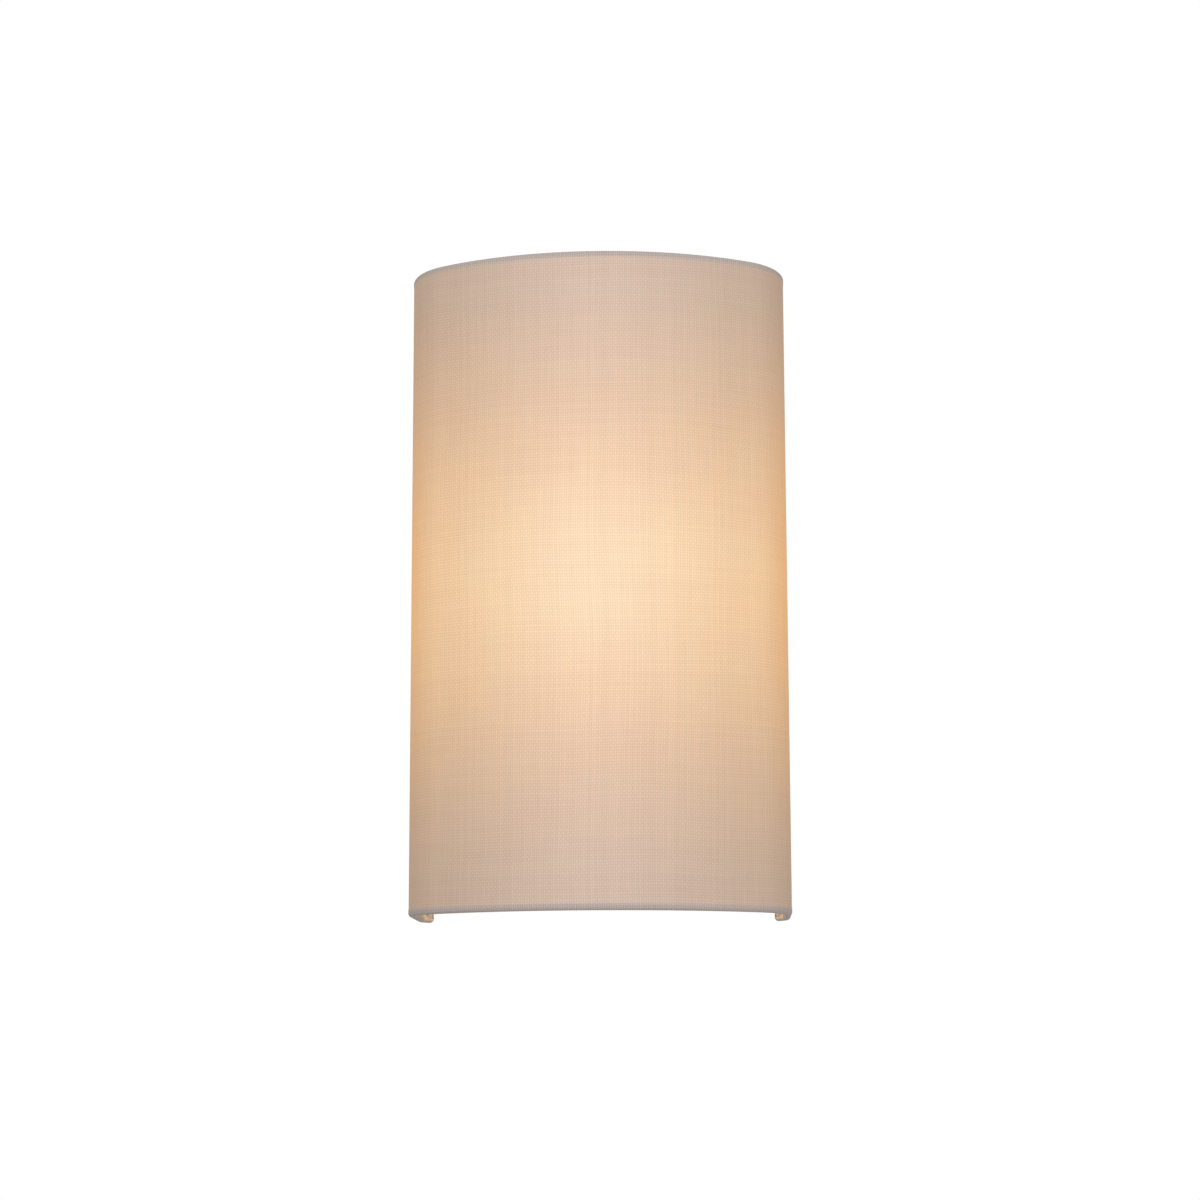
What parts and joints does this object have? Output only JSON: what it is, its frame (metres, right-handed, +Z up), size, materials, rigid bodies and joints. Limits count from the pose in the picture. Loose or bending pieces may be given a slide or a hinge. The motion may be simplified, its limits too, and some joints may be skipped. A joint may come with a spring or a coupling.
{
  "type": "fabric shade wall light",
  "caption": "Half-round wall light: fabric shade rolled over a wire frame, carried by two captive screws on a steel wall plate with a small screw-cap bulb.",
  "frame": {"origin": "centre of the wall plate's back face, on the wall", "axes": "+Z up, +X along the wall to the right as seen from the room, +Y into the wall, so the shade's front faces -Y"},
  "size_m": [0.204, 0.11, 0.35],
  "materials": {
    "cloth": "plain-weave linen, lit from behind",
    "liner": "translucent laminate sheet",
    "frame_white": "white powder coat on wire",
    "plate_white": "white powder coat on sheet steel",
    "nickel": "nickel plate",
    "zinc": "zinc plate",
    "rubber": "soft",
    "nylon": "natural",
    "holder_white": "moulded",
    "holder_ceramic": "unglazed",
    "brass": "bright",
    "tinned": "tin plate",
    "cap_metal": "satin",
    "dark_glass": "fused black glass",
    "opal_glass": "opal, warm lit",
    "wire_brown": "satin insulation",
    "wire_blue": "satin insulation",
    "wire_green_yellow": "satin insulation, striped"
  },
  "bodies": {
    "fixture": {"cable_grommet": "rubber", "clinch_nuts": "zinc", "earth_cup_washer": "brass", "earth_ring_terminal": "tinned", "earth_screw": "brass", "earth_wire": "wire_green_yellow", "lampholder_bracket": "plate_white", "lampholder_cap": "holder_white", "lampholder_contact": "brass", "lampholder_insert": "holder_ceramic", "lampholder_rivets": "zinc", "lampholder_screws": "zinc", "lampholder_shell": "brass", "lampholder_sleeve": "holder_white", "live_wire": "wire_brown", "lower_shade_bracket": "plate_white", "neutral_wire": "wire_blue", "nipple_nut": "zinc", "shade_bracket_rivets": "zinc", "terminal_block": "nylon", "terminal_screws": "zinc", "terminal_tubes": "brass", "threaded_nipple": "zinc", "upper_shade_bracket": "plate_white", "wall_plate": "plate_white", "wire_bush": "nylon"},
    "shade": {"shade_fabric": "cloth", "shade_liner": "liner", "top_rim_wire": "frame_white", "bottom_rim_wire": "frame_white", "left_upright": "frame_white", "right_upright": "frame_white", "upper_cross_strap": "frame_white", "lower_cross_strap": "frame_white"},
    "upper_thumb_screw": {"upper_thumb_screw": "nickel"},
    "lower_thumb_screw": {"lower_thumb_screw": "nickel"},
    "bulb": {"bulb_globe": "opal_glass", "bulb_cap": "cap_metal", "bulb_insulator": "dark_glass", "bulb_contact": "tinned"}
  },
  "joints": [
    {"name": "shade_pull", "type": "slide", "parent": "fixture", "child": "shade", "axis": [0, -1, 0], "range_m": [0, 0.12]},
    {"name": "upper_screw_turn", "type": "hinge", "parent": "shade", "child": "upper_thumb_screw", "pos_m": [0, -0.0135, 0.135], "axis": [0, -1, 0], "continuous": true},
    {"name": "lower_screw_turn", "type": "hinge", "parent": "shade", "child": "lower_thumb_screw", "pos_m": [0, -0.0135, -0.135], "axis": [0, -1, 0], "continuous": true},
    {"name": "bulb_unscrew", "type": "hinge", "parent": "fixture", "child": "bulb", "pos_m": [0, -0.056, -0.05], "axis": [0, 0, 1], "range_deg": [0, 1620]}
  ]
}
